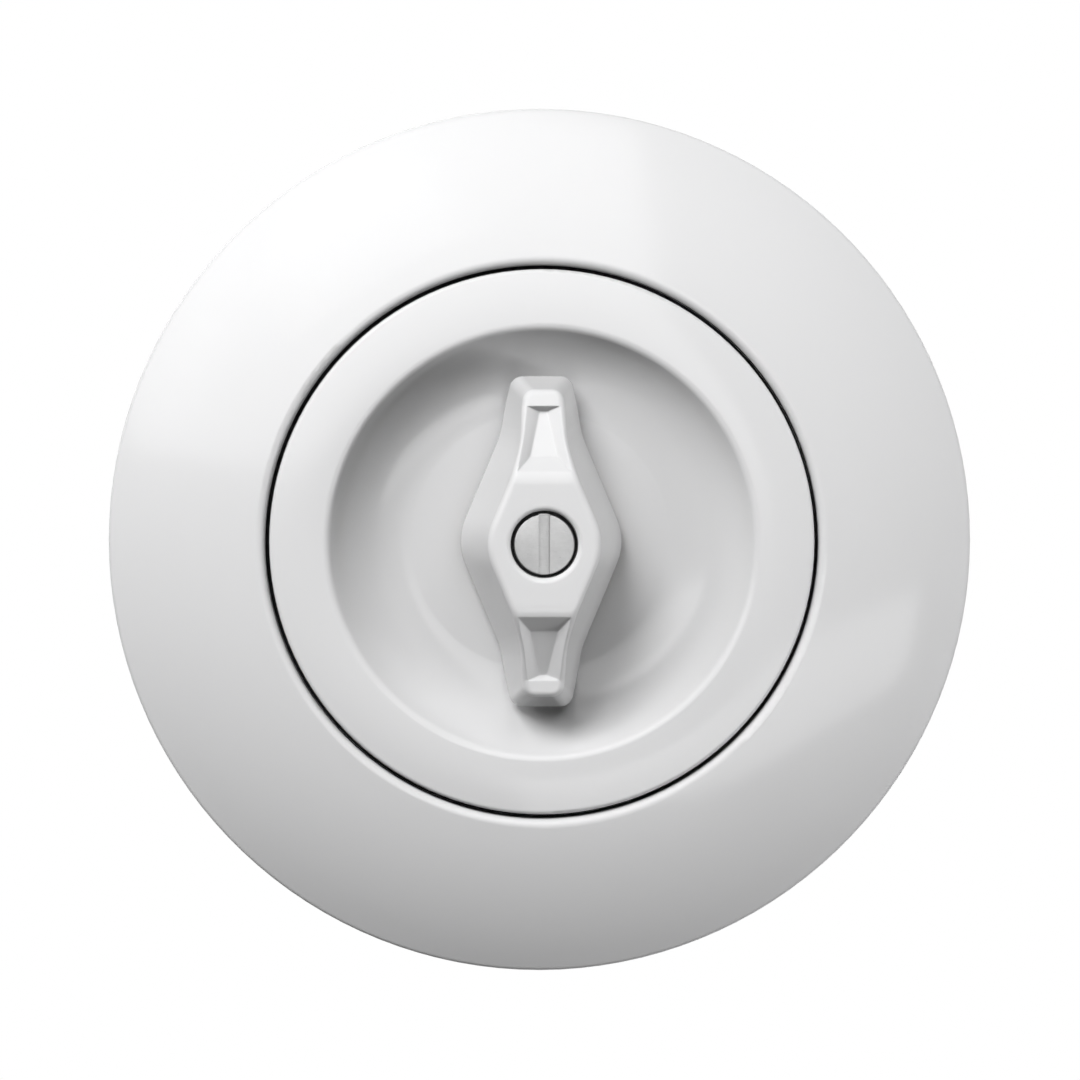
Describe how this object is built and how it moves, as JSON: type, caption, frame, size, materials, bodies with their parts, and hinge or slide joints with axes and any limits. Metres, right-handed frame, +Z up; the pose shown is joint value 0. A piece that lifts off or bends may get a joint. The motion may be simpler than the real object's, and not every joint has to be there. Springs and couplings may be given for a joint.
{
  "type": "dimmer switch",
  "caption": "Round flush-mounted rotary dimmer: domed cover ring, dished centre plate, two-winged knob with a slotted screw, claw-fixed insert behind.",
  "frame": {"origin": "centre of the support plate's rear face, on the wall plane", "axes": "-Y out of the wall towards the user, +Z up the wall, +X to the right as the user sees it"},
  "size_m": [0.1, 0.0425, 0.1],
  "materials": {
    "white_cover": "glossy white moulding",
    "dark_rubber": "matt black",
    "nickel_screw": "brushed nickel plate, slightly scratched",
    "zinc_steel": "bright zinc plated sheet",
    "screw_steel": "zinc plated",
    "dark_washer": "matt black",
    "shaft_metal": "turned",
    "brass": "bright machined",
    "can_steel": "tin plated",
    "housing": "fine matt grey moulding",
    "brown_board": "phenolic board",
    "green_board": "lacquered board",
    "carbon_track": "satin carbon",
    "rotor_plastic": "natural moulding",
    "ferrite": "grey ferrite",
    "copper_wire": "enamelled copper",
    "yellow_film": "boxed film capacitor",
    "black_mould": "epoxy moulding",
    "fin_aluminium": "mill finish",
    "fuse_glass": "sand-filled tube with metal caps",
    "resistor_body": "lacquered",
    "spring_steel": "spring wire"
  },
  "bodies": {
    "root": {"frame_ring": "white_cover", "cushion_ring": "dark_rubber", "centre_plate": "white_cover", "plate_nut": "brass", "lock_washer": "zinc_steel", "pot_bushing": "brass", "pot_case": "can_steel", "track_disc": "brown_board", "resistor_track": "carbon_track", "pot_terminals": "can_steel", "switch_case": "black_mould", "fixed_contacts": "brass", "return_spring": "spring_steel", "insert_cover": "housing", "insert_base": "housing", "case_screws": "screw_steel", "circuit_board": "green_board", "choke_core": "ferrite", "choke_winding": "copper_wire", "film_capacitor": "yellow_film", "timing_capacitor": "resistor_body", "heat_sink": "fin_aluminium", "triac": "black_mould", "fuse": "fuse_glass", "fuse_clips": "can_steel", "resistors": "resistor_body", "diac": "fuse_glass", "terminal_cages": "brass", "terminal_screws": "screw_steel", "support_plate": "zinc_steel", "plate_screws": "screw_steel", "claw_screw_left": "screw_steel", "claw_screw_right": "screw_steel"},
    "plunger": {"switch_plunger": "rotor_plastic", "moving_contact": "brass"},
    "knob_group": {"knob": "white_cover", "knob_screw": "nickel_screw", "knob_washer": "dark_washer", "spindle": "shaft_metal", "spindle_clip": "spring_steel"},
    "wiper": {"wiper_rotor": "rotor_plastic", "wiper_contact": "brass"},
    "claw_block_left": {"claw_nut_left": "zinc_steel"},
    "claw_block_right": {"claw_nut_right": "zinc_steel"},
    "claw_arm_left": {"claw_left": "zinc_steel"},
    "claw_arm_right": {"claw_right": "zinc_steel"}
  },
  "joints": [
    {"name": "push", "type": "slide", "parent": "root", "child": "plunger", "axis": [0, 1, 0], "range_m": [0, 0.0012], "stiffness_N_per_m": 1500, "springref_m": -0.0005, "deforming": ["return_spring"]},
    {"name": "knob_turn", "type": "hinge", "parent": "plunger", "child": "knob_group", "pos_m": [0, 0, 0], "axis": [0, 1, 0], "range_deg": [-135, 135]},
    {"name": "wiper_turn", "type": "hinge", "parent": "root", "child": "wiper", "pos_m": [0, 0, 0], "axis": [0, 1, 0], "range_deg": [-135, 135]},
    {"name": "claw_left_travel", "type": "slide", "parent": "root", "child": "claw_block_left", "axis": [0, -1, 0], "range_m": [0, 0.006]},
    {"name": "claw_left_tilt", "type": "hinge", "parent": "claw_block_left", "child": "claw_arm_left", "pos_m": [-0.0245, 0.016, 0], "axis": [0, 0, 1], "range_deg": [0, 30]},
    {"name": "claw_right_travel", "type": "slide", "parent": "root", "child": "claw_block_right", "axis": [0, -1, 0], "range_m": [0, 0.006]},
    {"name": "claw_right_tilt", "type": "hinge", "parent": "claw_block_right", "child": "claw_arm_right", "pos_m": [0.0245, 0.016, 0], "axis": [0, 0, -1], "range_deg": [0, 30]}
  ],
  "couplings": [
    {"joint": "wiper_turn", "follows": "knob_turn", "ratio": 1},
    {"joint": "claw_left_tilt", "follows": "claw_left_travel", "rad_per_m": 87.2},
    {"joint": "claw_right_tilt", "follows": "claw_right_travel", "rad_per_m": 87.2}
  ]
}
